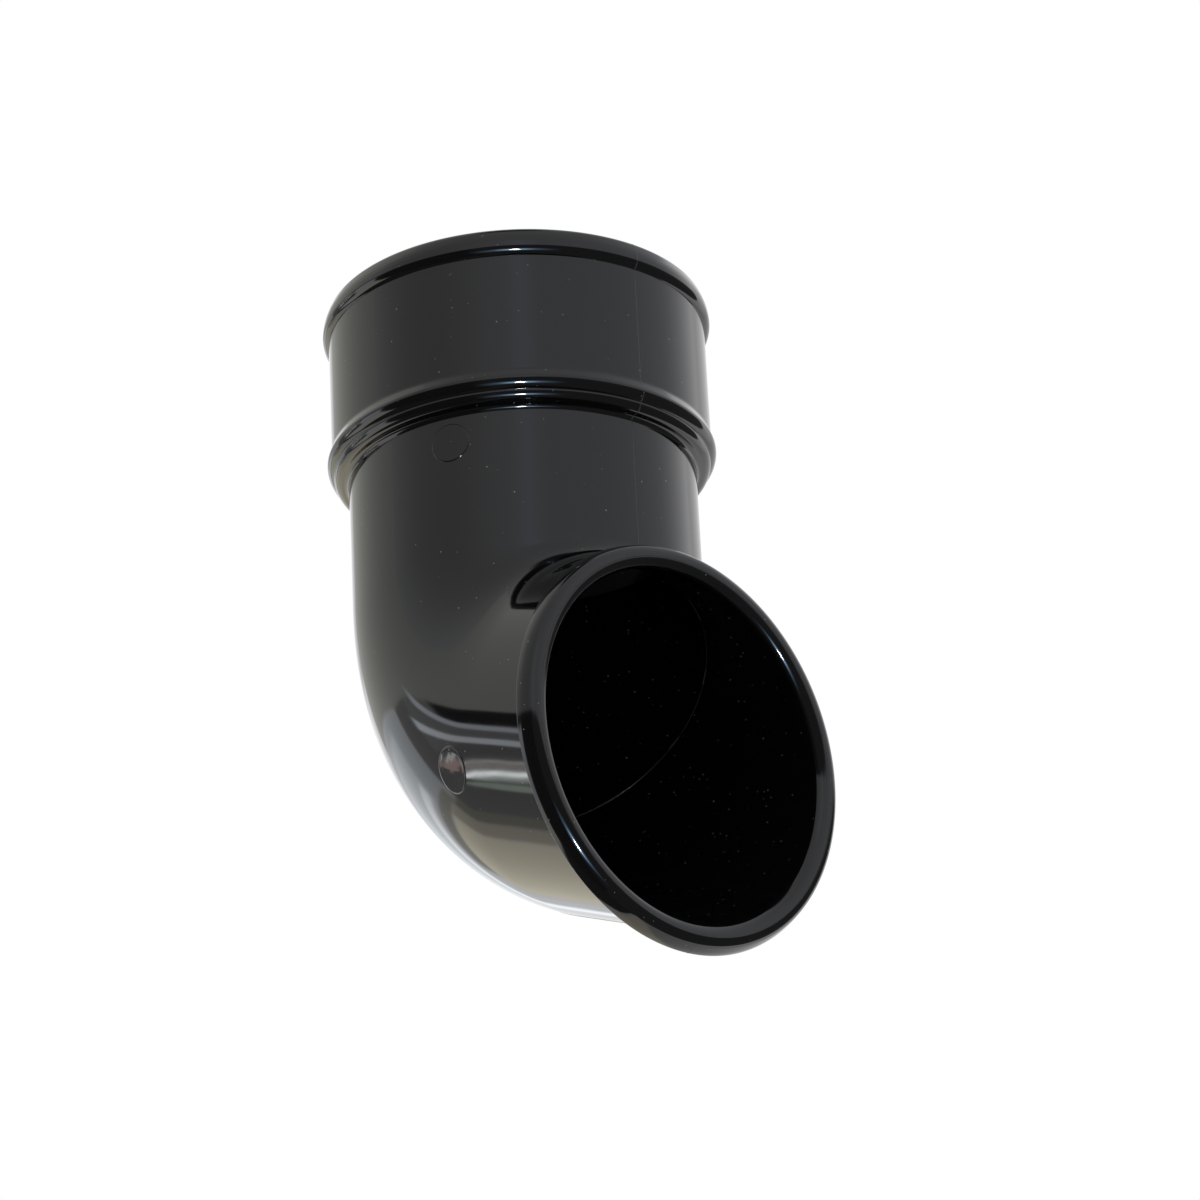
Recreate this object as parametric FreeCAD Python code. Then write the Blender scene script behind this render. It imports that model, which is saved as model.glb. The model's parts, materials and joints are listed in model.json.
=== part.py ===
import FreeCAD, Part
import math
import os

from FreeCAD import Vector

# Downpipe shoe: the moulded bend at the foot of a round downpipe that throws the water clear of the wall.
# Millimetres and degrees. The socket's axis is Z, its open end is up, and the outlet points to -Y.
# The origin is the middle of the seat, where the end of the downpipe stops.

# Socket
PIPE_DIAMETER = 68.0      # outside of the downpipe that pushes in
PIPE_CLEARANCE = 0.4      # gap all round between the pipe and the socket
SOCKET_DEPTH = 34.0       # from the rim down to the seat
SOCKET_WALL = 2.3
SEAT_THICKNESS = 1.8      # floor of the socket, from the seat to the underside of the shoulder
LEAD_IN = 0.7             # bevel that guides the pipe in
SEAT_BEVEL = 0.6          # inner edge of the seat, where the water runs over
SHOULDER_BEVEL = 1.3      # outer corner at the foot of the socket
NECK_FILLET = 0.7         # sloping fill of the hollow corner between the shoulder and the neck

# Beads round the socket
BEAD_UPPER_SLOPE = 20.0   # of the flank above a bead's crest, from the wall
BEAD_LOWER_SLOPE = 28.0   # of the flank below it, which is steeper
RIM_BEAD_PROUD = 1.1
RIM_BEAD_ROUND = 2.0      # of the crest
RIM_BEAD_DEPTH = 4.4      # crest of the upper bead below the rim
FOOT_BEAD_PROUD = 0.85
FOOT_BEAD_ROUND = 1.6     # of the crest
FOOT_BEAD_HEIGHT = 2.0    # crest of the lower bead above the seat

# Neck, bend and outlet
NECK_DIAMETER = 67.0      # outside
NECK_WALL = 2.2
NECK_LENGTH = 26.4        # straight run between the shoulder and the bend
BEND_ANGLE = 67.5
BEND_RADIUS = 38.0        # of the centre line
MOUTH_REACH = 44.5        # from the socket's axis to the upright front of the lip

# Lip round the mouth
LIP_PROUD = 2.85          # above the outside of the outlet
LIP_DROP = 0.4            # how far the lip's middle hangs below the outlet's, as a drip edge
LIP_THICKNESS = 4.0
LIP_SIDE_BEVEL = 1.7      # run of the outer edge's first bevel along the lip's side
LIP_SIDE_SLOPE = 24.0     # of that bevel, from the side
LIP_FRONT_BEVEL = 0.9     # second bevel, between the first and the front: together they nearly make a round
LIP_BACK_BEVEL = 0.9      # outer edge at the back
MOUTH_BEVEL = 1.6         # inner edge of the mouth

# Sizes that follow
SOCKET_BORE = PIPE_DIAMETER / 2 + PIPE_CLEARANCE
SOCKET_OUTSIDE = SOCKET_BORE + SOCKET_WALL
NECK_OUTSIDE = NECK_DIAMETER / 2
NECK_BORE = NECK_OUTSIDE - NECK_WALL
BEND_TOP = -SEAT_THICKNESS - NECK_LENGTH
BEND_TURN = math.radians(BEND_ANGLE)
OUTLET_DIRECTION = Vector(0, -math.sin(BEND_TURN), -math.cos(BEND_TURN))
BEND_REACH = BEND_RADIUS * (1 - math.cos(BEND_TURN))
BEND_DROP = BEND_RADIUS * math.sin(BEND_TURN)
OUTLET_START = Vector(0, -BEND_REACH, BEND_TOP - BEND_DROP)
CLEAR = 1.0               # how far a cutting tool stands past what it cuts
TOLERANCE = 1e-4


def at(radius, height):
    """A point of the socket's section, in the XZ plane."""
    return Vector(radius, 0, height)


def line(start, end):
    return Part.LineSegment(start, end).toShape()


class Bead:
    """A ridge round the socket's wall: a round crest between two sloping flanks."""

    def __init__(self, proud, crest_round, height):
        self.crest = at(SOCKET_OUTSIDE + proud, height)
        self.crest_round = crest_round
        self.slopes = {1: math.radians(BEAD_UPPER_SLOPE), -1: math.radians(BEAD_LOWER_SLOPE)}

    def crest_end(self, side):
        """Where the crest runs into its flank, above its middle (side 1) or below it (side -1)."""
        slope = self.slopes[side]
        return self.crest + at(math.cos(slope) - 1, side * math.sin(slope)) * self.crest_round

    def on_wall(self, side):
        """Where that flank meets the wall."""
        start = self.crest_end(side)
        return at(SOCKET_OUTSIDE, start.z + side * (start.x - SOCKET_OUTSIDE) / math.tan(self.slopes[side]))

    def at_height(self, height):
        """Where the upper flank reaches a height."""
        start = self.crest_end(1)
        return at(start.x - (height - start.z) * math.tan(self.slopes[1]), height)

    def ridge(self, start, end):
        """The bead's edges, from a point of its upper flank to one of its lower flank."""
        upper, lower = self.crest_end(1), self.crest_end(-1)
        return [line(start, upper), Part.Arc(upper, self.crest, lower).toShape(), line(lower, end)]


def socket_section():
    """Half of the section through the socket and the neck, as a face beside the axis."""
    top = Bead(RIM_BEAD_PROUD, RIM_BEAD_ROUND, SOCKET_DEPTH - RIM_BEAD_DEPTH)
    foot = Bead(FOOT_BEAD_PROUD, FOOT_BEAD_ROUND, FOOT_BEAD_HEIGHT)
    rim_edge = top.at_height(SOCKET_DEPTH)
    corner_top = at(SOCKET_OUTSIDE, SHOULDER_BEVEL - SEAT_THICKNESS)
    corner_end = at(SOCKET_OUTSIDE - SHOULDER_BEVEL, -SEAT_THICKNESS)
    fillet_start = at(NECK_OUTSIDE + NECK_FILLET, -SEAT_THICKNESS)
    fillet_end = at(NECK_OUTSIDE, -SEAT_THICKNESS - NECK_FILLET)
    neck_end = at(NECK_OUTSIDE, BEND_TOP)
    bore_end = at(NECK_BORE, BEND_TOP)
    seat_start = at(NECK_BORE, -SEAT_BEVEL)
    seat_inner = at(NECK_BORE + SEAT_BEVEL, 0)
    seat_outer = at(SOCKET_BORE, 0)
    lead_start = at(SOCKET_BORE, SOCKET_DEPTH - LEAD_IN)
    lead_end = at(SOCKET_BORE + LEAD_IN, SOCKET_DEPTH)
    beads = top.ridge(rim_edge, top.on_wall(-1))
    beads.append(line(top.on_wall(-1), foot.on_wall(1)))
    beads += foot.ridge(foot.on_wall(1), foot.on_wall(-1))
    shoulder = [
        line(foot.on_wall(-1), corner_top),
        line(corner_top, corner_end),
        line(corner_end, fillet_start),
        line(fillet_start, fillet_end),
        line(fillet_end, neck_end),
    ]
    inside = [
        line(neck_end, bore_end),
        line(bore_end, seat_start),
        line(seat_start, seat_inner),
        line(seat_inner, seat_outer),
        line(seat_outer, lead_start),
        line(lead_start, lead_end),
        line(lead_end, rim_edge),
    ]
    return Part.Face(Part.Wire(beads + shoulder + inside))


def socket_and_neck():
    """The turned part: socket, beads, seat, shoulder and neck."""
    return socket_section().revolve(Vector(0, 0, 0), Vector(0, 0, 1), 360)


def bend():
    """The elbow: the neck's ring swung round a level axis in front of it."""
    start = Vector(0, 0, BEND_TOP)
    outer = Part.Wire(Part.makeCircle(NECK_OUTSIDE, start))
    inner = Part.Wire(Part.makeCircle(NECK_BORE, start))
    ring = Part.Face(outer).cut(Part.Face(inner)).Faces[0]
    return ring.revolve(Vector(0, -BEND_RADIUS, BEND_TOP), Vector(-1, 0, 0), BEND_ANGLE)


def axis_height(reach):
    """Height of the outlet's axis at a distance in front of the socket's axis."""
    return OUTLET_START.z - (reach + OUTLET_START.y) / math.tan(BEND_TURN)


def oval(centre, half_height, half_width):
    """An upright four-centre oval: two small arcs at the top and bottom, two large ones at the sides."""
    diagonal = math.hypot(half_height, half_width)
    spare = (half_height - half_width) * diagonal
    small = (diagonal**2 - spare) / (2 * half_height)
    large = (diagonal**2 + spare) / (2 * half_width)
    small_centre = Vector(0, 0, half_height - small)
    large_centre = Vector(half_width - large, 0, 0)
    joint = small_centre + (small_centre - large_centre).normalize() * small

    def point(x, z):
        return centre + Vector(x, 0, z)

    top = Part.Arc(point(-joint.x, joint.z), point(0, half_height), point(joint.x, joint.z))
    right = Part.Arc(point(joint.x, joint.z), point(half_width, 0), point(joint.x, -joint.z))
    bottom = Part.Arc(point(joint.x, -joint.z), point(0, -half_height), point(-joint.x, -joint.z))
    left = Part.Arc(point(-joint.x, -joint.z), point(-half_width, 0), point(-joint.x, joint.z))
    return Part.Wire([side.toShape() for side in (top, right, bottom, left)])


def lip():
    """The bead round the mouth: an upright oval plate with its outer edges eased, still without its hole."""
    height = axis_height(MOUTH_REACH - LIP_THICKNESS / 2) - LIP_DROP
    half_height = NECK_OUTSIDE / math.sin(BEND_TURN) + LIP_PROUD
    half_width = NECK_OUTSIDE + LIP_PROUD
    front = Part.Face(oval(Vector(0, -MOUTH_REACH, height), half_height, half_width))
    plate = front.extrude(Vector(0, LIP_THICKNESS, 0))
    side_drop = LIP_SIDE_BEVEL * math.tan(math.radians(LIP_SIDE_SLOPE))
    plate = plate.makeChamfer(LIP_SIDE_BEVEL, side_drop, upright_edges(plate, MOUTH_REACH))
    plate = plate.makeChamfer(LIP_FRONT_BEVEL, upright_edges(plate, MOUTH_REACH))
    return plate.makeChamfer(LIP_BACK_BEVEL, upright_edges(plate, MOUTH_REACH - LIP_THICKNESS))


def upright_edges(shape, reach):
    """The edges that lie in the upright plane at a distance in front of the socket's axis."""
    found = []
    for edge in shape.Edges:
        box = edge.BoundBox
        if abs(box.YMin + reach) < TOLERANCE and abs(box.YMax + reach) < TOLERANCE:
            found.append(edge)
    return found


def outlet():
    """The inclined run from the bend to the mouth, cut off upright, with its lip."""
    run = (MOUTH_REACH + OUTLET_START.y) / math.sin(BEND_TURN) + NECK_OUTSIDE / math.tan(BEND_TURN) + CLEAR
    outside = Part.makeCylinder(NECK_OUTSIDE, run, OUTLET_START, OUTLET_DIRECTION)
    width = 2 * (NECK_OUTSIDE + CLEAR)
    depth = run + CLEAR
    beyond = Part.makeBox(width, depth, 2 * (width + depth))
    beyond.translate(Vector(-width / 2, -MOUTH_REACH - depth, OUTLET_START.z - width - depth))
    body = outside.cut(beyond).fuse(lip()).removeSplitter()
    bore_start = OUTLET_START - OUTLET_DIRECTION * CLEAR
    body = body.cut(Part.makeCylinder(NECK_BORE, run + 2 * CLEAR, bore_start, OUTLET_DIRECTION))
    mouth_edge = max(upright_edges(body, MOUTH_REACH), key=lambda edge: edge.Length)
    return body.makeChamfer(MOUTH_BEVEL, [mouth_edge])


def downpipe_shoe():
    shoe = socket_and_neck().multiFuse([bend(), outlet()]).removeSplitter()
    return shoe.Solids[0] if len(shoe.Solids) == 1 else shoe


os.makedirs("parts", exist_ok=True)
shoe = downpipe_shoe()
shoe.exportStep("parts/downpipe_shoe.step")
size = shoe.optimalBoundingBox(True, False)
print("downpipe_shoe", shoe.ShapeType, "valid", shoe.isValid(), "volume", round(shoe.Volume), "mm3")
print("box", [round(v, 2) for v in (size.XMin, size.XMax, size.YMin, size.YMax, size.ZMin, size.ZMax)])
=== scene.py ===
# %% [markdown]
# # A downpipe shoe in glossy black plastic
# The shoe pushes over the foot of a round downpipe and throws the rainwater clear of the wall.
# The real one is a single moulding: a socket with two beads, a straight neck, a bend, and an upright
# oval mouth with a rounded lip. Its measured solid is loaded first and stays fixed. What this lesson
# adds is what a polished mould leaves on it: soft rounds on every edge, fine witness lines, and gloss.

# %% Load the measured shoe
import json
import math

import bpy
from mathutils import Matrix, Vector


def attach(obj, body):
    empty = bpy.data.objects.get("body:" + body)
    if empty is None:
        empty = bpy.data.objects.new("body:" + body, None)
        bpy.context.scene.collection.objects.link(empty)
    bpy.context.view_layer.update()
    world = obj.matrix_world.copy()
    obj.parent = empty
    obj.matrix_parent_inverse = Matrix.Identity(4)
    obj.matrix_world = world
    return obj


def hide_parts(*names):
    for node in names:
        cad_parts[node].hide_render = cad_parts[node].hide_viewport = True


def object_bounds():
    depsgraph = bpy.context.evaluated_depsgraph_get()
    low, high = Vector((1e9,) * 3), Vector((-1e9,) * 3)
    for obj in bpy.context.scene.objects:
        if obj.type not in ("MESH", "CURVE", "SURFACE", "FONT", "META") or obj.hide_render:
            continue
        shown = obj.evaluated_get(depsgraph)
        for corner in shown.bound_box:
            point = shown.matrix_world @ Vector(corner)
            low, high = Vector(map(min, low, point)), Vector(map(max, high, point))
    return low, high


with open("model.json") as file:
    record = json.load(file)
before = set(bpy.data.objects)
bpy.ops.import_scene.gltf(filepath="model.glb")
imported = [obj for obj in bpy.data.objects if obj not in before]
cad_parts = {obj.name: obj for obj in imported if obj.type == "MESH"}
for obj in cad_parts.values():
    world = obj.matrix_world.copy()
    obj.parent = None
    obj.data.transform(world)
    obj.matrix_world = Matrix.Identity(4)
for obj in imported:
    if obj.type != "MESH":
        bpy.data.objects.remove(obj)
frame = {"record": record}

cad_low, cad_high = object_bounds()
print("measured box, mm:", [round(1000 * v, 1) for v in (*cad_low, *cad_high)])

# %% [markdown]
# ## Sizes
# Three sizes come straight from the measured shoe: the bore that takes the pipe, the height of the rim
# and the plane of the mouth. The others could be measured on its mesh too, but a size that is written
# down can be changed in one place. So the walls and the bend stand here, in metres, and each round or
# fine line stands in the cell that needs it.

# %% Sizes
MM = 0.001
SOCKET_BORE = frame["record"]["mounts"][0]["dims"]["r_mm"] * MM
RIM_HEIGHT = cad_high.z
MOUTH_FRONT = cad_low.y
SOCKET_WALL = 2.3 * MM
SOCKET_OUTSIDE = SOCKET_BORE + SOCKET_WALL
SEAT_THICKNESS = 1.8 * MM
NECK_OUTSIDE = 33.5 * MM
WALL = 2.2 * MM
NECK_BORE = NECK_OUTSIDE - WALL
BEND_TOP = -28.2 * MM
BEND_RADIUS = 38 * MM
BEND_TURN = math.radians(67.5)
print("socket bore", SOCKET_BORE, "rim", round(RIM_HEIGHT, 4), "mouth", round(MOUTH_FRONT, 4))

# %% [markdown]
# ## One rule for the whole skin
# A lathe could turn the socket, and a curve could sweep the bend, but then the two would have to be
# joined, and the lip again to those. A moulding has no such joins, so one rule makes all of it: the skin
# is a row of ovals, and each oval is known by its middle, half its width, and the arrow from its middle
# up to its crown. A ring of the socket, a tilted ring of the bend and the upright oval of the lip are all
# of that kind.

# %% Ovals along the shoe
def forward(turn):
    """The way the water runs after the bend has turned it by an angle."""
    return Vector((0, -math.sin(turn), -math.cos(turn)))


def crownward(turn):
    """Across that way, towards the inside of the bend."""
    return Vector((0, -math.cos(turn), math.sin(turn)))


def turned_oval(radius, height):
    """A level ring of the socket or the neck."""
    return Vector((0, 0, height)), radius, radius * crownward(0)


def bend_middle(turn):
    """A point of the bend's centre line."""
    return Vector((0, -BEND_RADIUS * (1 - math.cos(turn)), BEND_TOP - BEND_RADIUS * math.sin(turn)))


def bend_oval(radius, turn):
    """A ring of the bend, square to the way the water runs."""
    return bend_middle(turn), radius, radius * crownward(turn)


OUTLET_START = bend_middle(BEND_TURN)


def upright_oval(radius, reach):
    """The inclined outlet cut by an upright plane across it."""
    run = (OUTLET_START.y - reach) / math.sin(BEND_TURN)
    return OUTLET_START + run * forward(BEND_TURN), radius, Vector((0, 0, radius / math.sin(BEND_TURN)))


def between(first, second, share):
    """An oval part of the way from one to another."""
    return tuple(a + (b - a) * share for a, b in zip(first, second))


print("the outlet starts at, mm:", [round(v / MM, 2) for v in OUTLET_START])

# %% [markdown]
# ## Rounded corners
# A moulding has no sharp edge, because neither steel nor molten plastic likes one. A Bevel modifier could
# round the finished skin, but with one width for all. So the section is written as a few corners, each
# with its own round, and a short function puts an arc into each. Two more points close to each arc keep
# the flats between them truly flat when the skin is shaded smooth.

# %% A path with rounded corners
ARC_STEP = math.radians(8)
HOLD = 0.2 * MM              # from an arc to the point that keeps the next flat flat
SHORTEST_FLAT = 4 * HOLD     # a shorter one gets no such points
LONG_STEP = 6 * MM


def arc_at(before, corner, after):
    """The points of the arc that rounds a corner (across, along, radius) between its two neighbours."""
    here = Vector(corner[:2])
    back = (Vector(before[:2]) - here).normalized()
    on = (Vector(after[:2]) - here).normalized()
    half = back.angle(on) / 2
    start = here + back * corner[2] / math.tan(half)
    centre = here + (back + on).normalized() * corner[2] / math.sin(half)
    turn = math.copysign(math.pi - 2 * half, back.x * on.y - back.y * on.x)
    steps = max(2, math.ceil(abs(turn) / ARC_STEP))
    arm = start - centre
    return [centre + Matrix.Rotation(-turn * k / steps, 2) @ arm for k in range(steps + 1)]


def rounded(corners):
    """The points of a path through corners (across, along, radius); its two ends stay sharp."""
    rough = [Vector(corners[0][:2])]
    for before, corner, after in zip(corners, corners[1:], corners[2:]):
        rough += arc_at(before, corner, after)
    rough.append(Vector(corners[-1][:2]))
    points = [rough[0]]
    for start, end in zip(rough, rough[1:]):
        length = (end - start).length
        if length > SHORTEST_FLAT:
            way = (end - start) / length
            inner = length - 2 * HOLD
            pieces = math.ceil(inner / LONG_STEP)
            points += [start + way * (HOLD + inner * k / pieces) for k in range(pieces + 1)]
        points.append(end)
    return points


# %% [markdown]
# ## The section
# Seen cut in half, the wall is one closed line: over the rim, down the outside past both beads to the
# neck, round the bend, over the lip, and back up the bore to the seat and the socket. The beads stiffen
# the socket. Each swells gently from above and drops away steeply below, and under the lower one the
# socket is drawn in to the neck. Each could be a separate ring laid round the socket, but then a crease
# would show where it lies. As corners of the section, they flow out of the wall.

# %% Socket and neck outside
SHOULDER_IN = 0.35           # mm, from the socket's wall in to the shoulder's
# Corners of the beads in mm: out from the socket's wall, up from the rim or the seat, and the round
RIM_BEAD = ((-0.2, 0.0, 1.95), (1.1, -3.15, 6.2), (1.1, -5.45, 1.8), (0.0, -6.08, 0.02))
FOOT_BEAD = ((0.0, 4.2, 2.0), (0.85, 2.3, 1.4), (0.85, 0.79, 2.08), (-SHOULDER_IN, 0.1, 0.15))
SHOULDER_OUTSIDE = SOCKET_OUTSIDE - SHOULDER_IN * MM
SHOULDER_ROUND = 1.6 * MM
NECK_FILLET = 1.0 * MM
RIM_FLAT = SOCKET_BORE + 0.75 * MM      # where the section starts and ends


def bead(corners, base):
    """The corners of a bead as (radius, height, round) in metres."""
    return [(SOCKET_OUTSIDE + out * MM, base + up * MM, radius * MM) for out, up, radius in corners]


outside_corners = [
    (RIM_FLAT, RIM_HEIGHT, 0),
    *bead(RIM_BEAD, RIM_HEIGHT),
    *bead(FOOT_BEAD, 0),
    (SHOULDER_OUTSIDE, -SEAT_THICKNESS, SHOULDER_ROUND),
    (NECK_OUTSIDE, -SEAT_THICKNESS, NECK_FILLET),
    (NECK_OUTSIDE, BEND_TOP, 0),
]
socket_ovals = [turned_oval(across, height) for across, height in rounded(outside_corners)]
print("socket and neck:", len(socket_ovals), "ovals")

# %% [markdown]
# ## Bend, outlet and lip
# The bend swings the neck's ring round a level axis. After it the outlet runs straight, but the mouth is
# cut off upright, so the rings lean over little by little until they stand upright where the lip begins.
# A Boolean could cut the mouth, but its edge would then need a lip of its own. Here the lip is a small
# section across the wall. Its two front corners are so round that they all but meet, and water that
# clings to such a nose lets go in drops instead of creeping back along the outlet.

# %% Bend, outlet and lip
BEND_STEPS = 36
OUTLET_STEPS = 8
LIP_THICKNESS = 4 * MM
LIP_PROUD = 2.85 * MM
LIP_DROP = 0.4 * MM
OUTLET_RUN = 1.2 * MM        # from the lip's back to where the outlet's rings stand upright
LIP_BACK_FILLET = 0.5 * MM
LIP_BACK_ROUND = 0.4 * MM
LIP_SIDE = 2.6 * MM          # from the lip's front to where its side starts to lean in
LIP_LEAN = 1.0 * MM          # and how far it leans in
LIP_SIDE_ROUND = 5.0 * MM
LIP_FRONT_ROUND = 1.95 * MM
MOUTH_ROUND = 2.2 * MM

lip_back = MOUTH_FRONT + LIP_THICKNESS
upright_from = lip_back + OUTLET_RUN


def bend_and_outlet(radius):
    """The ovals of one wall from the top of the bend to where they stand upright."""
    ovals = [bend_oval(radius, BEND_TURN * k / BEND_STEPS) for k in range(1, BEND_STEPS + 1)]
    last = upright_oval(radius, upright_from)
    return ovals + [between(ovals[-1], last, k / OUTLET_STEPS) for k in range(1, OUTLET_STEPS)]


def lip_oval(out, reach):
    """An upright oval of the lip, out from the outlet's wall by a distance, or inside it if below 0."""
    wall = upright_oval(NECK_OUTSIDE, reach)
    if out < 0:
        return between(wall, upright_oval(NECK_BORE, reach), -out / WALL)
    middle = upright_oval(NECK_OUTSIDE, MOUTH_FRONT + LIP_THICKNESS / 2)[0]
    centre = Vector((0, reach, middle.z - LIP_DROP))
    crown = Vector((0, 0, NECK_OUTSIDE / math.sin(BEND_TURN) + LIP_PROUD))
    return between(wall, (centre, NECK_OUTSIDE + LIP_PROUD, crown), out / LIP_PROUD)


lip_corners = [
    (0, upright_from, 0),
    (0, lip_back, LIP_BACK_FILLET),
    (LIP_PROUD, lip_back, LIP_BACK_ROUND),
    (LIP_PROUD, MOUTH_FRONT + LIP_SIDE, LIP_SIDE_ROUND),
    (LIP_PROUD - LIP_LEAN, MOUTH_FRONT, LIP_FRONT_ROUND),
    (-WALL, MOUTH_FRONT, MOUTH_ROUND),
    (-WALL, upright_from, 0),
]
lip_path = rounded(lip_corners)
lip_ovals = [lip_oval(out, reach) for out, reach in lip_path]
outlet_ovals = bend_and_outlet(NECK_OUTSIDE)
bore_ovals = bend_and_outlet(NECK_BORE)[::-1]
print("bend and outlet:", len(outlet_ovals), "ovals outside, lip:", len(lip_ovals))

# %% [markdown]
# ## Bore, seat and socket inside
# The bore keeps an even distance from the outside, so that the plastic cools at the same pace everywhere.
# Its one step is the seat, a ledge on which the foot of the pipe stops, and a small round at the rim leads
# the pipe in. A Solidify modifier could give the wall its thickness, but it would repeat the beads inside.
# So the row of ovals simply goes on, from the mouth back up to the rim, where it meets its own start.

# %% Bore, seat and socket inside
SEAT_ROUND = 0.6 * MM
SEAT_FILLET = 0.4 * MM
LEAD_IN = 0.7 * MM
inside_corners = [
    (NECK_BORE, BEND_TOP, 0),
    (NECK_BORE, 0, SEAT_ROUND),
    (SOCKET_BORE, 0, SEAT_FILLET),
    (SOCKET_BORE, RIM_HEIGHT, LEAD_IN),
    (RIM_FLAT, RIM_HEIGHT, 0),
]
inside_ovals = [turned_oval(across, height) for across, height in rounded(inside_corners)]
outer_ovals = socket_ovals + outlet_ovals + lip_ovals
inner_ovals = bore_ovals + inside_ovals
print("whole section:", len(outer_ovals), "ovals outside and", len(inner_ovals), "inside")

# %% [markdown]
# ## Geometry Nodes: a few helpers
# The shoe, its lines and its pin marks are all made by node trees, and a tree that is written out node by
# node is long to read. These helpers make a node and its links in one line each. A tree is only a recipe,
# so the last helper runs it on a seed, keeps the result as a plain mesh and throws the seed away.

# %% Helpers for node trees
FLOAT, WHOLE, SHAPE = "NodeSocketFloat", "NodeSocketInt", "NodeSocketGeometry"
MATTER, THING = "NodeSocketMaterial", "NodeSocketObject"


def new_tree(name, inputs):
    """An empty Geometry Nodes tree with a geometry in and out, and named inputs for its sizes."""
    tree = bpy.data.node_groups.new(name, "GeometryNodeTree")
    tree.interface.new_socket("Geometry", in_out="INPUT", socket_type=SHAPE)
    for label, kind in inputs.items():
        tree.interface.new_socket(label, in_out="INPUT", socket_type=kind)
    tree.interface.new_socket("Geometry", in_out="OUTPUT", socket_type=SHAPE)
    return tree


def add(tree, kind, settings=None, **links):
    """A node with its settings, and a socket or a plain value for each input, by name or number (n0, n1)."""
    node = tree.nodes.new(kind)
    for key, value in (settings or {}).items():
        setattr(node, key, value)
    for key, value in links.items():
        wanted = int(key[1:]) if key[0] == "n" and key[1:].isdigit() else key.replace("_", " ")
        socket = node.inputs[wanted]
        if isinstance(value, bpy.types.NodeSocket):
            tree.links.new(value, socket)
        else:
            socket.default_value = value
    return node


def calc(tree, operation, first, second=0.0):
    """One sum on numbers."""
    return add(tree, "ShaderNodeMath", {"operation": operation}, n0=first, n1=second).outputs[0]


def count(tree, operation, first, second):
    """One sum on whole numbers."""
    return add(tree, "FunctionNodeIntegerMath", {"operation": operation}, n0=first, n1=second).outputs[0]


def shift(tree, place, arrow, length):
    """A place moved along an arrow by a number of its lengths."""
    scaled = add(tree, "ShaderNodeVectorMath", {"operation": "SCALE"}, n0=arrow, Scale=length).outputs[0]
    return add(tree, "ShaderNodeVectorMath", {"operation": "ADD"}, n0=place, n1=scaled).outputs[0]


def noise(tree, grain, **links):
    """A soft random pattern; its grain is the patches in a metre and the levels of detail."""
    per_metre, detail = grain
    return add(tree, "ShaderNodeTexNoise", Scale=per_metre, Detail=detail, **links)


def stored(tree, kind, name):
    """What the seed mesh keeps on its points under a name."""
    return add(tree, "GeometryNodeInputNamedAttribute", {"data_type": kind}, Name=name).outputs[0]


def close_tree(tree, geometry, material):
    """The end of each tree: smooth shading, real geometry and its material."""
    smooth = add(tree, "GeometryNodeSetShadeSmooth", Geometry=geometry)
    real = add(tree, "GeometryNodeRealizeInstances", Geometry=smooth.outputs[0])
    finish = add(tree, "GeometryNodeSetMaterial", Geometry=real.outputs[0], Material=material)
    add(tree, "NodeGroupOutput", Geometry=finish.outputs[0])


# %% From a tree to a plain piece
def keep(mesh, kind, name, values):
    """Store a number or an arrow on each point of a seed mesh."""
    data = mesh.attributes.new(name, kind, "POINT").data
    if kind == "FLOAT":
        data.foreach_set("value", values)
    else:
        data.foreach_set("vector", [part for value in values for part in value])


def grow(name, seed, tree, values):
    """Run a tree on a seed mesh, and keep its result as a plain mesh object at the origin."""
    source = bpy.data.objects.new(name + "_seed", seed)
    bpy.context.scene.collection.objects.link(source)
    modifier = source.modifiers.new("grow", "NODES")
    modifier.node_group = tree
    for item in tree.interface.items_tree:
        if item.in_out == "INPUT" and item.name in values:
            modifier[item.identifier] = values[item.name]
    graph = bpy.context.evaluated_depsgraph_get()
    mesh = bpy.data.meshes.new_from_object(source.evaluated_get(graph), depsgraph=graph)
    bpy.data.objects.remove(source)
    mesh.materials.clear()
    mesh.materials.append(values["Material"])
    piece = bpy.data.objects.new(name, mesh)
    mesh.name = name
    bpy.context.scene.collection.objects.link(piece)
    print(name, "has", len(mesh.polygons), "faces")
    return piece


# %% [markdown]
# ## From ovals to a skin
# The ovals go into a mesh of bare points, one for each oval, with its width and crown stored on the point.
# A loop could work out every corner of the skin in Python, but a node tree does it faster and shows its
# rule. It lays a grid over the points, with one column for each oval and one row for each step round it,
# and moves every grid point to middle + sine x width + cosine x crown. Merging by distance closes both
# seams. The tree also tells the skin which ovals belong to the bore, because more dirt stays there.

# %% The tree that skins the ovals
WELD = 0.001 * MM            # points closer than this count as one


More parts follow.
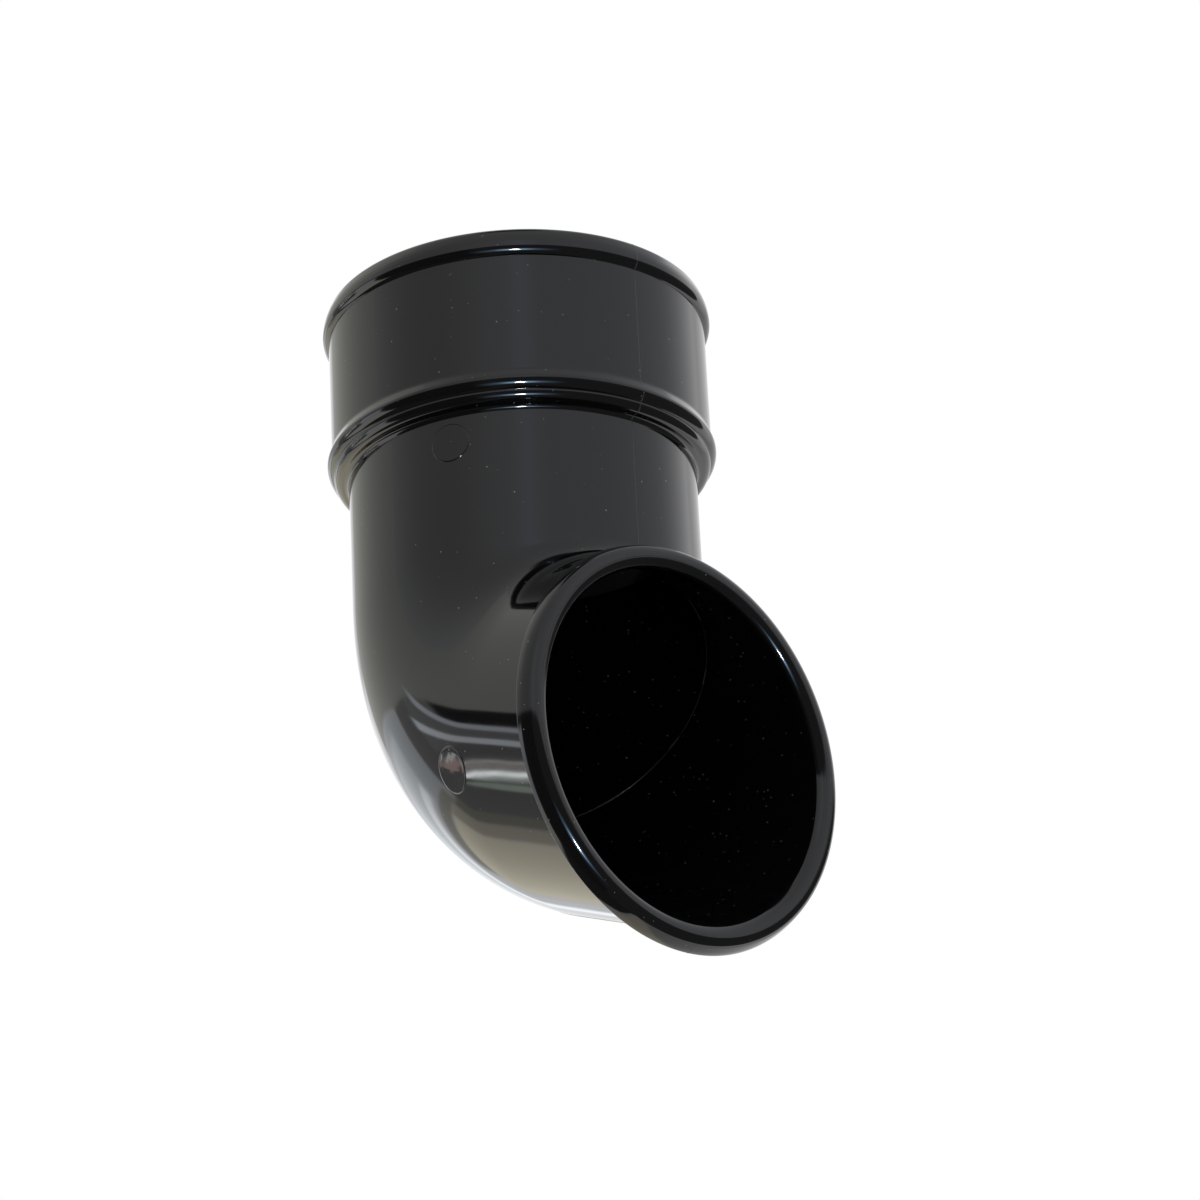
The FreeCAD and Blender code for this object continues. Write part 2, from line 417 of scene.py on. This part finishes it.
def skin_tree():
    """The skin over a row of ovals."""
    tree = new_tree("skin over ovals", {"Steps round": WHOLE, "Material": MATTER})
    points, steps, material = add(tree, "NodeGroupInput").outputs[:3]
    columns = add(tree, "GeometryNodeAttributeDomainSize", Geometry=points).outputs["Point Count"]
    rows = count(tree, "ADD", steps, 1)
    grid = add(tree, "GeometryNodeMeshGrid", Vertices_X=columns, Vertices_Y=rows)
    index = add(tree, "GeometryNodeInputIndex").outputs[0]
    oval = count(tree, "DIVIDE_FLOOR", index, rows)
    step = count(tree, "MODULO", index, rows)

    def of_oval(kind, value):
        return add(tree, "GeometryNodeSampleIndex", {"data_type": kind}, Geometry=points, Value=value,
                   Index=oval).outputs[0]

    middle = of_oval("FLOAT_VECTOR", add(tree, "GeometryNodeInputPosition").outputs[0])
    width = of_oval("FLOAT", stored(tree, "FLOAT", "half_width"))
    crown = of_oval("FLOAT_VECTOR", stored(tree, "FLOAT_VECTOR", "crown"))
    angle = calc(tree, "MULTIPLY", calc(tree, "DIVIDE", step, steps), 2 * math.pi)
    aside = calc(tree, "MULTIPLY", calc(tree, "SINE", angle), width)
    across = shift(tree, middle, (1, 0, 0), aside)
    place = shift(tree, across, crown, calc(tree, "COSINE", angle))
    moved = add(tree, "GeometryNodeSetPosition", Geometry=grid.outputs[0], Position=place)
    bore = of_oval("FLOAT", stored(tree, "FLOAT", "bore"))
    dusty = add(tree, "GeometryNodeStoreNamedAttribute", {"data_type": "FLOAT"}, Geometry=moved.outputs[0],
                Name="bore", Value=bore)
    closed = add(tree, "GeometryNodeMergeByDistance", Geometry=dusty.outputs[0], Distance=WELD)
    close_tree(tree, closed.outputs[0], material)
    return tree


def oval_points(outer, inner):
    """A mesh of bare points, one for each oval, that carries the ovals' sizes."""
    ovals = outer + inner
    mesh = bpy.data.meshes.new("ovals")
    mesh.from_pydata([oval[0] for oval in ovals], [], [])
    keep(mesh, "FLOAT", "half_width", [oval[1] for oval in ovals])
    keep(mesh, "FLOAT_VECTOR", "crown", [oval[2] for oval in ovals])
    keep(mesh, "FLOAT", "bore", [0.0] * len(outer) + [1.0] * len(inner))
    return mesh


oval_skin = skin_tree()
print("skin over ovals:", len(oval_skin.nodes), "nodes")

# %% [markdown]
# ## Dust
# A shoe that has stood on a shelf carries specks of dust, and short fibres in its bore. They could be
# scattered as thousands of tiny pieces, but at this size a colour is enough. A Voronoi texture splits the
# space into cells, and each cell may hold one speck at its middle. Squeezed along one axis and bent by a
# noise, the same specks become fibres.

# %% Dust
DUST = (0.25, 0.245, 0.235, 1)
# Spacing, share of the cells that hold a speck, and the largest speck's radius in spacings
SPECKS = (1.7 * MM, 0.7, 0.12)
BORE_SPECKS = (1.3 * MM, 0.7, 0.13)
FIBRES = (1.6 * MM, 0.6, 0.06)
FIBRE_KINKS = (300.0, 2.0)
FIBRE_BEND = 2.0 * MM
FIBRE_SQUEEZE = (0.12, 1, 1)


def specks(tree, place, spacing, share, largest):
    """A mask of small round specks of many sizes: each cell of the texture may hold one at its middle."""
    cells = add(tree, "ShaderNodeTexVoronoi", Vector=place, Scale=1 / spacing)
    chance = add(tree, "ShaderNodeSeparateColor", Color=cells.outputs["Color"]).outputs[0]
    size = add(tree, "ShaderNodeMapRange", Value=chance, From_Min=1 - share, To_Max=largest)
    inside = calc(tree, "SUBTRACT", size.outputs[0], cells.outputs["Distance"])
    return add(tree, "ShaderNodeMapRange", Value=inside, From_Max=largest / 2).outputs[0]


def all_dust(tree, place):
    """Specks everywhere, and in the bore, where the water runs, finer ones and fibres too."""
    wander = noise(tree, FIBRE_KINKS, Vector=place)
    bent = shift(tree, place, wander.outputs["Color"], FIBRE_BEND)
    drawn = add(tree, "ShaderNodeVectorMath", {"operation": "MULTIPLY"}, n0=bent, n1=FIBRE_SQUEEZE)
    fibres = specks(tree, drawn.outputs[0], *FIBRES)
    fine = calc(tree, "MAXIMUM", specks(tree, place, *BORE_SPECKS), fibres)
    bore = add(tree, "ShaderNodeAttribute", {"attribute_name": "bore"}).outputs["Fac"]
    return calc(tree, "MAXIMUM", specks(tree, place, *SPECKS), calc(tree, "MULTIPLY", fine, bore))


# %% [markdown]
# ## Glossy black plastic
# The plastic is black all through, and its gloss is the polish of the mould. One number for the gloss
# would do from afar, but up close it is not perfect: the polish wanders a little, and the wall is slightly
# wavy where it shrank as it cooled. Each of these is a texture laid through the space the shoe stands in,
# so it has no seams. Where a hair of plastic tore off as the mould opened, it is paler and duller.

# %% Black plastic
BLACK = (0.003, 0.003, 0.0033, 1)
POLISH = (0.045, 0.075)      # smoothest and roughest
TORN = (0.03, 0.03, 0.03, 1)
TORN_POLISH = (0.2, 0.35)
POLISH_PATCHES = (160.0, 4.0)
DUST_DULLS = 0.5             # roughness that dust adds
WAVES = (45.0, 1.0)
WAVE_HEIGHT = 0.3 * MM
WAVE_STRENGTH = 0.2


def black_plastic(name, black, polish_range):
    """Black plastic with its dust, its polish and its waves."""
    material = bpy.data.materials.new(name)
    material.use_nodes = True
    tree = material.node_tree
    shader = tree.nodes["Principled BSDF"]
    place = add(tree, "ShaderNodeTexCoord").outputs["Object"]
    dust = all_dust(tree, place)
    colour = add(tree, "ShaderNodeMix", {"data_type": "RGBA"}, n0=dust, n6=black, n7=DUST)
    tree.links.new(colour.outputs[2], shader.inputs["Base Color"])
    smoothest, roughest = polish_range
    polish = noise(tree, POLISH_PATCHES, Vector=place).outputs[0]
    gloss = add(tree, "ShaderNodeMapRange", Value=polish, To_Min=smoothest, To_Max=roughest)
    dull = calc(tree, "MULTIPLY", dust, DUST_DULLS)
    tree.links.new(calc(tree, "ADD", gloss.outputs[0], dull), shader.inputs["Roughness"])
    waves = noise(tree, WAVES, Vector=place).outputs[0]
    shrunk = add(tree, "ShaderNodeBump", Height=waves, Strength=WAVE_STRENGTH, Distance=WAVE_HEIGHT)
    tree.links.new(shrunk.outputs[0], shader.inputs["Normal"])
    return material


plastic = black_plastic("black_plastic", BLACK, POLISH)
torn_plastic = black_plastic("torn_plastic", TORN, TORN_POLISH)
print("plastic:", len(plastic.node_tree.nodes), "nodes")

# %% [markdown]
# ## The shoe
# Everything is ready now to grow the shoe. Fewer steps round would show as flat facets along its outline,
# and many more would only make the file heavy. The skin then takes the place of the measured solid, which
# has the same shape with plain bevels, and is fixed to the one body that the part has.

# %% Skin the shoe
STEPS_ROUND = 192
section_points = oval_points(outer_ovals, inner_ovals)
shoe = grow("shoe", section_points, oval_skin, {"Steps round": STEPS_ROUND, "Material": plastic})


def fix(piece):
    """Every piece is part of the one moulding."""
    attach(piece, "root")


fix(shoe)
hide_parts("downpipe_shoe")

# %% [markdown]
# ## Lines that the mould leaves
# The outside of the mould opens in two halves, and a hair of plastic stands where they met, along the
# middle of the front and of the back. The bore is shaped by two cores, one drawn up out of the socket and
# one out of the mouth. They meet halfway round the bend and leave a ring there, and the mouth's core
# leaves another on the nose of the lip. A bump in the material could fake such a line, but it would be
# missing from the mesh. So each is a thin round cord laid along the skin, sunk until only its top shows.
# How deep it is sunk wanders a little along it, because a real one is never even.

# %% The tree that raises a line
CORD_SIDES = 10
LINE_KINKS = (700.0, 2.0)


def line_tree():
    """A cord along a row of points, sunk into the skin until only its top shows."""
    tree = new_tree("raised line", {"Width": FLOAT, "Proud": FLOAT, "Unevenness": FLOAT, "Material": MATTER})
    line, width, proud, uneven, material = add(tree, "NodeGroupInput").outputs[:5]
    swing = calc(tree, "SUBTRACT", noise(tree, LINE_KINKS).outputs[0], 0.5)
    top = calc(tree, "ADD", proud, calc(tree, "MULTIPLY", swing, uneven))
    half = calc(tree, "MULTIPLY", width, 0.5)
    outward = stored(tree, "FLOAT_VECTOR", "outward")
    here = add(tree, "GeometryNodeInputPosition").outputs[0]
    sunk = shift(tree, here, outward, calc(tree, "SUBTRACT", top, half))
    moved = add(tree, "GeometryNodeSetPosition", Geometry=line, Position=sunk)
    curve = add(tree, "GeometryNodeMeshToCurve", Mesh=moved.outputs[0]).outputs[0]
    section = add(tree, "GeometryNodeCurvePrimitiveCircle", Resolution=CORD_SIDES)
    tree.links.new(half, section.inputs["Radius"])
    cord = add(tree, "GeometryNodeCurveToMesh", Curve=curve, Profile_Curve=section.outputs[0],
               Fill_Caps=True)
    close_tree(tree, cord.outputs[0], material)
    return tree


def chain(runs):
    """A mesh of rows of points (place, outward arrow); a row that ends where it starts is a ring."""
    places, arrows, edges = [], [], []
    for run in runs:
        first = len(places)
        ring = (run[0][0] - run[-1][0]).length < WELD
        run = run[:-1] if ring else run
        places += [place for place, arrow in run]
        arrows += [arrow for place, arrow in run]
        edges += [(first + k, first + k + 1) for k in range(len(run) - 1)]
        edges += [(first + len(run) - 1, first)] if ring else []
    mesh = bpy.data.meshes.new("chain")
    mesh.from_pydata(places, edges, [])
    keep(mesh, "FLOAT_VECTOR", "outward", arrows)
    return mesh


raised_line = line_tree()
print("raised line:", len(raised_line.nodes), "nodes")

# %% Where the lines run
RING_STEPS = 240
PARTING_END = 0.3 * MM       # the parting line stops this far from the rim's top and the lip's front
MOUTH_LINE_OUT = 0.2 * MM    # out from the outlet's wall
# Width, height above the skin, and unevenness
PARTING_LINE = (0.4 * MM, 0.05 * MM, 0.04 * MM)
CORE_JOINT_LINE = (0.45 * MM, 0.1 * MM, 0.05 * MM)
MOUTH_LINE = (0.24 * MM, 0.03 * MM, 0.05 * MM)


def oval_place(oval, angle):
    """A point of an oval; angle 0 is its crown."""
    middle, half_width, crown = oval
    return middle + Vector((math.sin(angle) * half_width, 0, 0)) + math.cos(angle) * crown


def ring_round(oval, arrow):
    """All points of an oval, each with an outward arrow that a function gives for its place."""
    places = [oval_place(oval, 2 * math.pi * k / RING_STEPS) for k in range(RING_STEPS)]
    places.append(places[0])
    return [(place, arrow(place)) for place in places]


def parting_run(side):
    """The line along the outside's crowns (side 1) or feet (side -1), from the rim to the lip."""
    front = MOUTH_FRONT + PARTING_END
    nose = [lip_oval(out, reach) for out, reach in lip_path if out >= 0 and reach > front]
    places = [middle + side * crown for middle, half_width, crown in socket_ovals + outlet_ovals + nose]
    places = [place for place in places if place.z < RIM_HEIGHT - PARTING_END]
    places = [place for place, after in zip(places, places[1:]) if (after - place).length > WELD]
    run = []
    for before, place, after in zip(places, places[1:], places[2:]):
        way = (after - before).normalized()
        run.append((place, side * Vector((0, way.z, -way.y))))
    return run


core_joint = bend_oval(NECK_BORE, BEND_TURN / 2)
core_ring = ring_round(core_joint, lambda place: (core_joint[0] - place).normalized())
mouth_joint = lip_oval(MOUTH_LINE_OUT, MOUTH_FRONT)
mouth_ring = ring_round(mouth_joint, lambda place: Vector((0, -1, 0)))
for name, runs, (width, proud, uneven), finish in (
    ("parting_line", [parting_run(1), parting_run(-1)], PARTING_LINE, torn_plastic),
    ("core_joint_line", [core_ring], CORE_JOINT_LINE, torn_plastic),
    ("mouth_line", [mouth_ring], MOUTH_LINE, plastic),
):
    sizes = {"Width": width, "Proud": proud, "Unevenness": uneven, "Material": finish}
    fix(grow(name, chain(runs), raised_line, sizes))

# %% [markdown]
# ## Pin marks
# Two round pins of the mould end flush with the skin on its left, one under the shoulder and one on the
# heel of the bend. Their ends are flatter than the skin, so each leaves a low round pad. A Boolean could
# join such a pad to the shoe, but it would spoil the even grid of the skin. Here a pad starts as a flat
# disc in front of the skin. The tree shoots a ray from each of its points onto the shoe and sets the point
# down there, at the height that the pad has at that place, so the pad takes the curve of what it meets.

# %% The tree that lays a pad on the skin
PIN_START = 10 * MM          # where the rays start, in front of the skin


def mark_tree():
    """A pad that follows the skin it lies on."""
    tree = new_tree("pad on the skin", {"Skin": THING, "Material": MATTER})
    disc, skin, material = add(tree, "NodeGroupInput").outputs[:3]
    target = add(tree, "GeometryNodeObjectInfo", {"transform_space": "RELATIVE"}, Object=skin)
    outward = stored(tree, "FLOAT_VECTOR", "outward")
    here = add(tree, "GeometryNodeInputPosition").outputs[0]
    inward = add(tree, "ShaderNodeVectorMath", {"operation": "SCALE"}, n0=outward, Scale=-1).outputs[0]
    ray = add(tree, "GeometryNodeRaycast", Target_Geometry=target.outputs["Geometry"], Source_Position=here,
              Ray_Direction=inward, Ray_Length=2 * PIN_START)
    lifted = shift(tree, ray.outputs["Hit Position"], outward, stored(tree, "FLOAT", "lift"))
    moved = add(tree, "GeometryNodeSetPosition", Geometry=disc, Position=lifted)
    closed = add(tree, "GeometryNodeMergeByDistance", Geometry=moved.outputs[0], Distance=WELD)
    close_tree(tree, closed.outputs[0], material)
    return tree


pad = mark_tree()
print("pad on the skin:", len(pad.nodes), "nodes")

# %% Where the pins end
PIN_STEPS = 64
# Half a pad from its middle out, over its edge and back underneath: share of the radius, height in mm
PIN_SECTION = (
    (0.0, 0.02), (0.25, 0.03), (0.5, 0.055), (0.75, 0.1), (0.93, 0.145), (0.985, 0.14),
    (1.03, -0.03), (1.03, -0.3), (0.5, -0.3), (0.0, -0.3),
)
NECK_PIN_HEIGHT = -7.8 * MM
HEEL_PIN_TURN = math.radians(62.4)
# Name, ring of the wall, degrees round it from its crown, diameter, and a factor on the section's heights
PINS = (
    ("neck_pin_mark", turned_oval(NECK_OUTSIDE, NECK_PIN_HEIGHT), -61.9, 7.5 * MM, 0.22),
    ("heel_pin_mark", bend_oval(NECK_OUTSIDE, HEEL_PIN_TURN), -112.5, 8.8 * MM, 0.85),
)


def pin_disc(place, outward, radius, swell):
    """The seed of one pad: the rings of its section, laid flat in front of the skin."""
    side = outward.orthogonal().normalized()
    rings = [(share * radius, swell * height * MM) for share, height in PIN_SECTION]
    places, lifts, faces = [], [], []
    for reach, height in rings:
        for k in range(PIN_STEPS):
            turned = Matrix.Rotation(2 * math.pi * k / PIN_STEPS, 3, outward) @ side
            places.append(place + outward * PIN_START + turned * reach)
            lifts.append(height)
    for ring in range(len(rings) - 1):
        for k in range(PIN_STEPS):
            here = ring * PIN_STEPS + k
            beside = ring * PIN_STEPS + (k + 1) % PIN_STEPS
            faces.append((here, here + PIN_STEPS, beside + PIN_STEPS, beside))
    mesh = bpy.data.meshes.new("pin disc")
    mesh.from_pydata(places, [], faces)
    keep(mesh, "FLOAT", "lift", lifts)
    keep(mesh, "FLOAT_VECTOR", "outward", [outward] * len(places))
    return mesh


for name, ring, degrees, across, swell in PINS:
    place = oval_place(ring, math.radians(degrees))
    disc = pin_disc(place, (place - ring[0]).normalized(), across / 2, swell)
    fix(grow(name, disc, pad, {"Skin": shoe, "Material": plastic}))

# %% [markdown]
# ## Floor
# The shoe hangs in the air, as it would on a wall, and the camera looks up at it. A pale floor lies well
# below both. It sends soft light up under the shoe and stays out of the gloss, which has a room of its own.

# %% Floor
FLOOR_HEIGHT = -1.0
FLOOR_SIZE = 60.0
FLOOR_COLOUR = (0.9, 0.9, 0.89, 1)
FLOOR_ROUGHNESS = 0.8
FLOOR_CORNERS = ((-1, -1), (1, -1), (1, 1), (-1, 1))

floor_mesh = bpy.data.meshes.new("floor")
floor_places = [(x * FLOOR_SIZE / 2, y * FLOOR_SIZE / 2, FLOOR_HEIGHT) for x, y in FLOOR_CORNERS]
floor_mesh.from_pydata(floor_places, [], [(0, 1, 2, 3)])
floor = bpy.data.objects.new("floor", floor_mesh)
bpy.context.scene.collection.objects.link(floor)
floor_paint = bpy.data.materials.new("pale_floor")
floor_paint.use_nodes = True
floor_shader = floor_paint.node_tree.nodes["Principled BSDF"]
floor_shader.inputs["Base Color"].default_value = FLOOR_COLOUR
floor_shader.inputs["Roughness"].default_value = FLOOR_ROUGHNESS
floor_mesh.materials.append(floor_paint)
floor.visible_glossy = False
print("floor:", FLOOR_SIZE, "m across,", -FLOOR_HEIGHT, "m below the seat")

# %% [markdown]
# ## A black card
# In a studio no light falls down through the shoe while it is photographed from below. A small black card
# across the neck keeps it out here. The camera does not see the card, only the dark behind it. Closing the
# neck in the mesh would do the same, but then the shoe could carry no water.

# %% Card across the neck
CARD_STEPS = 64
CARD_BLACK = (0, 0, 0, 1)

card_mesh = bpy.data.meshes.new("black_card")
card_ring = turned_oval(NECK_BORE, BEND_TOP / 2)
card_places = [oval_place(card_ring, 2 * math.pi * k / CARD_STEPS) for k in range(CARD_STEPS)]
card_mesh.from_pydata(card_places, [], [tuple(range(CARD_STEPS))])
card = bpy.data.objects.new("black_card", card_mesh)
bpy.context.scene.collection.objects.link(card)
card_paint = bpy.data.materials.new("black_card")
card_paint.use_nodes = True
card_shader = card_paint.node_tree.nodes["Principled BSDF"]
card_shader.inputs["Base Color"].default_value = CARD_BLACK
card_shader.inputs["Specular IOR Level"].default_value = 0
card_mesh.materials.append(card_paint)
card.visible_camera = False
print("black card:", round(2 * NECK_BORE / MM, 1), "mm across")

# %% [markdown]
# ## A room made of areas
# Black gloss has almost no colour of its own: what shows is the room. Lamps and walls could be built
# round the shoe as meshes, but a world can hold them all and costs no geometry. It starts in one colour,
# and each area is laid over the ones before it, behind a mask with soft edges. An area lies between two
# bearings (0 is the way the outlet points, 90 is +X) and two heights, and each pair is followed by how
# softly it ends, all in degrees. The camera itself sees plain white behind the shoe.

# %% A world put together from areas
class Surroundings:
    """A world that is put together from areas of the sky, each a colour behind a soft mask."""

    def __init__(self, name, colour):
        self.world = bpy.data.worlds.new(name)
        self.world.use_nodes = True
        self.tree = self.world.node_tree
        self.tree.nodes.clear()
        self.way = add(self.tree, "ShaderNodeTexCoord").outputs["Generated"]
        x, y, z = add(self.tree, "ShaderNodeSeparateXYZ", Vector=self.way).outputs
        turn = calc(self.tree, "ARCTAN2", calc(self.tree, "MULTIPLY", x, -1.0), y)
        self.bearing = calc(self.tree, "ADD", calc(self.tree, "DEGREES", turn), 180.0)
        self.height = calc(self.tree, "DEGREES", calc(self.tree, "ARCSINE", z))
        self.colour = colour

    def edge(self, value, start, end):
        """A mask that goes softly from 0 at start to 1 at end."""
        node = add(self.tree, "ShaderNodeMapRange", {"interpolation_type": "SMOOTHSTEP"}, Value=value,
                   From_Min=min(start, end), From_Max=max(start, end),
                   To_Min=float(end < start), To_Max=float(end > start))
        return node.outputs["Result"]

    def band(self, value, low, high, soft):
        """The masks of a range that ends softly on both sides, or on one where the other limit is None."""
        up = [] if low is None else [self.edge(value, low - soft, low + soft)]
        down = [] if high is None else [self.edge(value, high + soft, high - soft)]
        return up + down

    def window(self, bearings, heights, climb=0.0):
        """A mask between two bearings and two heights; with a climb, it rises from its first bearing on."""
        height = self.height
        if climb:
            along = calc(self.tree, "SUBTRACT", self.bearing, bearings[0])
            height = calc(self.tree, "SUBTRACT", height, calc(self.tree, "MULTIPLY", along, climb))
        first, *others = self.band(self.bearing, *bearings) + self.band(height, *heights)
        for other in others:
            first = calc(self.tree, "MULTIPLY", first, other)
        return first

    def lay(self, colour, mask):
        """A colour laid over what is there, where the mask is 1."""
        node = add(self.tree, "ShaderNodeMix", {"data_type": "RGBA"}, n0=mask)
        for socket, value in ((node.inputs[6], self.colour), (node.inputs[7], colour)):
            if isinstance(value, bpy.types.NodeSocket):
                self.tree.links.new(value, socket)
            else:
                socket.default_value = (*value, 1)
        self.colour = node.outputs[2]

    def spot(self, colour, bearing, height, full, gone):
        """A round light that is full inside one angle from its middle and gone outside another."""
        bearing, height, full, gone = (math.radians(angle) for angle in (bearing, height, full, gone))
        level = math.cos(height)
        middle = (level * math.sin(bearing), -level * math.cos(bearing), math.sin(height))
        near = add(self.tree, "ShaderNodeVectorMath", {"operation": "DOT_PRODUCT"}, n0=self.way, n1=middle)
        self.lay(colour, self.edge(near.outputs["Value"], math.cos(gone), math.cos(full)))

    def show(self, background, bearings, heights):
        """Light the scene with what was laid, and show a plain background to the camera all round,
        and to gloss between two bearings and two heights behind the shoe."""
        path = add(self.tree, "ShaderNodeLightPath").outputs
        behind = calc(self.tree, "MULTIPLY", path["Is Glossy Ray"], self.window(bearings, heights))
        self.lay(background, calc(self.tree, "MAXIMUM", path["Is Camera Ray"], behind))
        light = add(self.tree, "ShaderNodeBackground", Color=self.colour)
        add(self.tree, "ShaderNodeOutputWorld", Surface=light.outputs[0])
        return self.world


# %% [markdown]
# ## The studio
# A soft light hangs overhead, brightest behind the shoe, and the space round the camera is dark. Behind
# the shoe a white backdrop stands over a warm table. Left of it are a panel, a gap, two windows and a few
# coloured things, which draw the fine stripes on the elbow. A small lamp below the camera puts the sparks
# on the beads and the lip. One big light would be simpler, but the shoe would look like rubber under it.

# %% The studio
ALL_ROUND = (None, None, 0)
WHITE = (1, 1, 1)
DARK = (0.14, 0.14, 0.145)           # the room before anything is laid over it
# Colour, bearings, heights and, where an area is not level, its climb for each degree of bearing
STUDIO = (
    ((0.82, 0.835, 0.87), ALL_ROUND, (20, None, 1.5)),              # soft light overhead
    ((0.66, 0.67, 0.69), ALL_ROUND, (50, None, 20)),                # it fades towards the top
    ((0.59, 0.59, 0.58), (232, 292, 25), (20, None, 1.5)),          # and to the left
    ((0.97, 0.99, 1.12), (319, 331, 9), (20, 45, 3)),               # is bluish above the camera
    ((1.3, 1.3, 1.32), (80, 165, 22), (20, 45, 2)),                 # and brightest behind, on the right
    ((1.4, 1.4, 1.42), (88, 194.5, 1), (None, 20, 1)),              # backdrop
    ((0.80, 0.80, 0.75), (165, 195.5, 1), (13.7, 60, 0.5)),         # wall above the table
    ((0.80, 0.80, 0.75), (195, 226, 0.5), (13.7, 60, 0.5), 0.23),
    ((1.08, 1.14, 1.19), (145, 194.5, 1), (-0.3, 13.7, 0.6)),       # panel below that wall
    ((1.42, 1.49, 1.55), (145, 183, 2), (0.6, 12, 0.8)),
    ((2.2, 2.25, 2.3), (145, 181, 2), (1.8, 4.6, 0.8)),
    ((0.72, 0.72, 0.66), (161, 193, 2), (-4, -0.3, 0.5)),
    ((1.65, 1.55, 1.25), (100, 184, 2), (None, -4, 1)),             # table
    ((1.0, 0.94, 0.77), (184, 190, 1), (-18, -4, 1)),
    ((0.55, 0.54, 0.46), (190, 195, 1), (-16, -4, 1)),
    ((0.4, 0.4, 0.4), (194.5, 219, 0.7), (-14, 13.6, 0.6), 0.23),   # gap beside the panel
    ((0.52, 0.53, 0.54), (203, 219, 0.7), (6, 15.4, 0.6), 0.23),
    ((0.04, 0.04, 0.045), (212.5, 219, 0.8), (13.6, 18.2, 0.3), 0.23),
    ((1.6, 1.7, 1.85), (207, 219, 1), (15.9, 17.7, 0.4), -0.4),     # windows
    ((2.1, 2.25, 2.4), (202.5, 219, 1), (11, 13.1, 0.4), -0.28),
    ((1.65, 1.2, 1.13), (202.4, 205.2, 0.3), (0.7, 3.6, 0.3)),      # coloured things below them
    ((2.7, 2.75, 2.8), (204.7, 205.7, 0.2), (1.5, 4.2, 0.3)),
    ((1.3, 1.18, 1.1), (204.6, 216, 0.4), (-1.3, 0.1, 0.15), 0.5),
    ((2.8, 2.75, 2.7), (204.6, 216, 0.4), (-0.25, 0.15, 0.1), 0.5),
    ((1.3, 1.55, 1.3), (203, 205.5, 0.4), (-5.2, -3.3, 0.3)),
    ((1.5, 1.75, 1.65), (204.6, 216, 0.4), (-3.2, -2.2, 0.15), 0.5),
    ((9.0, 9.4, 9.4), (204.6, 216, 0.4), (-2.4, -1.75, 0.1), 0.5),
    ((1.5, 1.55, 1.65), (219.5, 237, 1.5), (-20, 15, 2)),           # lit wall to the left
    ((1.8, 1.75, 1.6), (200, 237, 2), (-35, -14, 3)),
    ((0.06, 0.06, 0.06), (240, 298, 6), (-70, 19, 2)),              # dark beside it
    ((0.09, 0.09, 0.09), (195, 245, 4), (None, -37, 3)),            # and below it
    ((0.03, 0.03, 0.03), ALL_ROUND, (80, None, 3)),                 # dark straight overhead
    ((1.2, 2.0, 3.0), (306, 339, 13), (-42, -22, 8)),               # glow round the lamp
    ((7.0, 10.5, 14.0), (316, 329, 8), (-38, -27, 4)),
)
LAMP_COLOUR = (300, 300, 310)
LAMP_BEARING = 322.6
LAMP_HEIGHT = -32.5
LAMP_FULL = 0.9              # degrees from its middle within which it is full
LAMP_GONE = 3.2              # and beyond which it is gone
BACKDROP = (100, 144, 4), (None, 32, 4)


def studio():
    """The areas laid one over the other, then the lamp and the white backdrop."""
    room = Surroundings("studio", DARK)
    for colour, *window in STUDIO:
        room.lay(colour, room.window(*window))
    room.spot(LAMP_COLOUR, LAMP_BEARING, LAMP_HEIGHT, LAMP_FULL, LAMP_GONE)
    return room.show(WHITE, *BACKDROP)


bpy.context.scene.world = studio()
bpy.context.scene.view_settings.view_transform = "Standard"
print("studio:", len(STUDIO), "areas and a lamp")

# %% [markdown]
# ## Camera
# A shoe at the foot of a downpipe is seen from above, but this one is photographed from below its left
# front, so that its mouth shows. A constraint could keep the camera aimed at the shoe. Plain sums do the
# same here: a step back from the shoe, a turn towards a point beside it, and a slight roll. The lens is
# long, so that the upright walls stay nearly parallel.

# %% Camera
CAMERA_AZIMUTH = math.radians(-38.61)
CAMERA_ELEVATION = math.radians(-23.18)
CAMERA_ROLL = math.radians(-2.95)
CAMERA_DISTANCE = 0.9
AIM_START = Vector((0, 0, -0.036))        # the point that the camera steps back from
AIM = Vector((0.01771, 0, -0.02274))      # the point in the middle of the picture
LENS_PER_FRAME = 4739 / 1200              # focal length in widths of the frame
SENSOR = 36.0
CLIP_NEAR = 0.01
CLIP_FAR = 100

camera = bpy.data.objects.new("camera", bpy.data.cameras.new("camera"))
bpy.context.scene.collection.objects.link(camera)
bpy.context.scene.camera = camera
camera.data.sensor_width = SENSOR
camera.data.lens = SENSOR * LENS_PER_FRAME
level = math.cos(CAMERA_ELEVATION)
back = Vector((
    math.sin(CAMERA_AZIMUTH) * level,
    -math.cos(CAMERA_AZIMUTH) * level,
    math.sin(CAMERA_ELEVATION),
))
camera.location = AIM_START + CAMERA_DISTANCE * back
look = (AIM - camera.location).to_track_quat("-Z", "Y")
camera.rotation_mode = "QUATERNION"
camera.rotation_quaternion = look @ Matrix.Rotation(CAMERA_ROLL, 3, "Z").to_quaternion()
camera.data.clip_start = CLIP_NEAR
camera.data.clip_end = CLIP_FAR
print("camera:", round(camera.data.lens, 1), "mm lens,", CAMERA_DISTANCE, "m away")
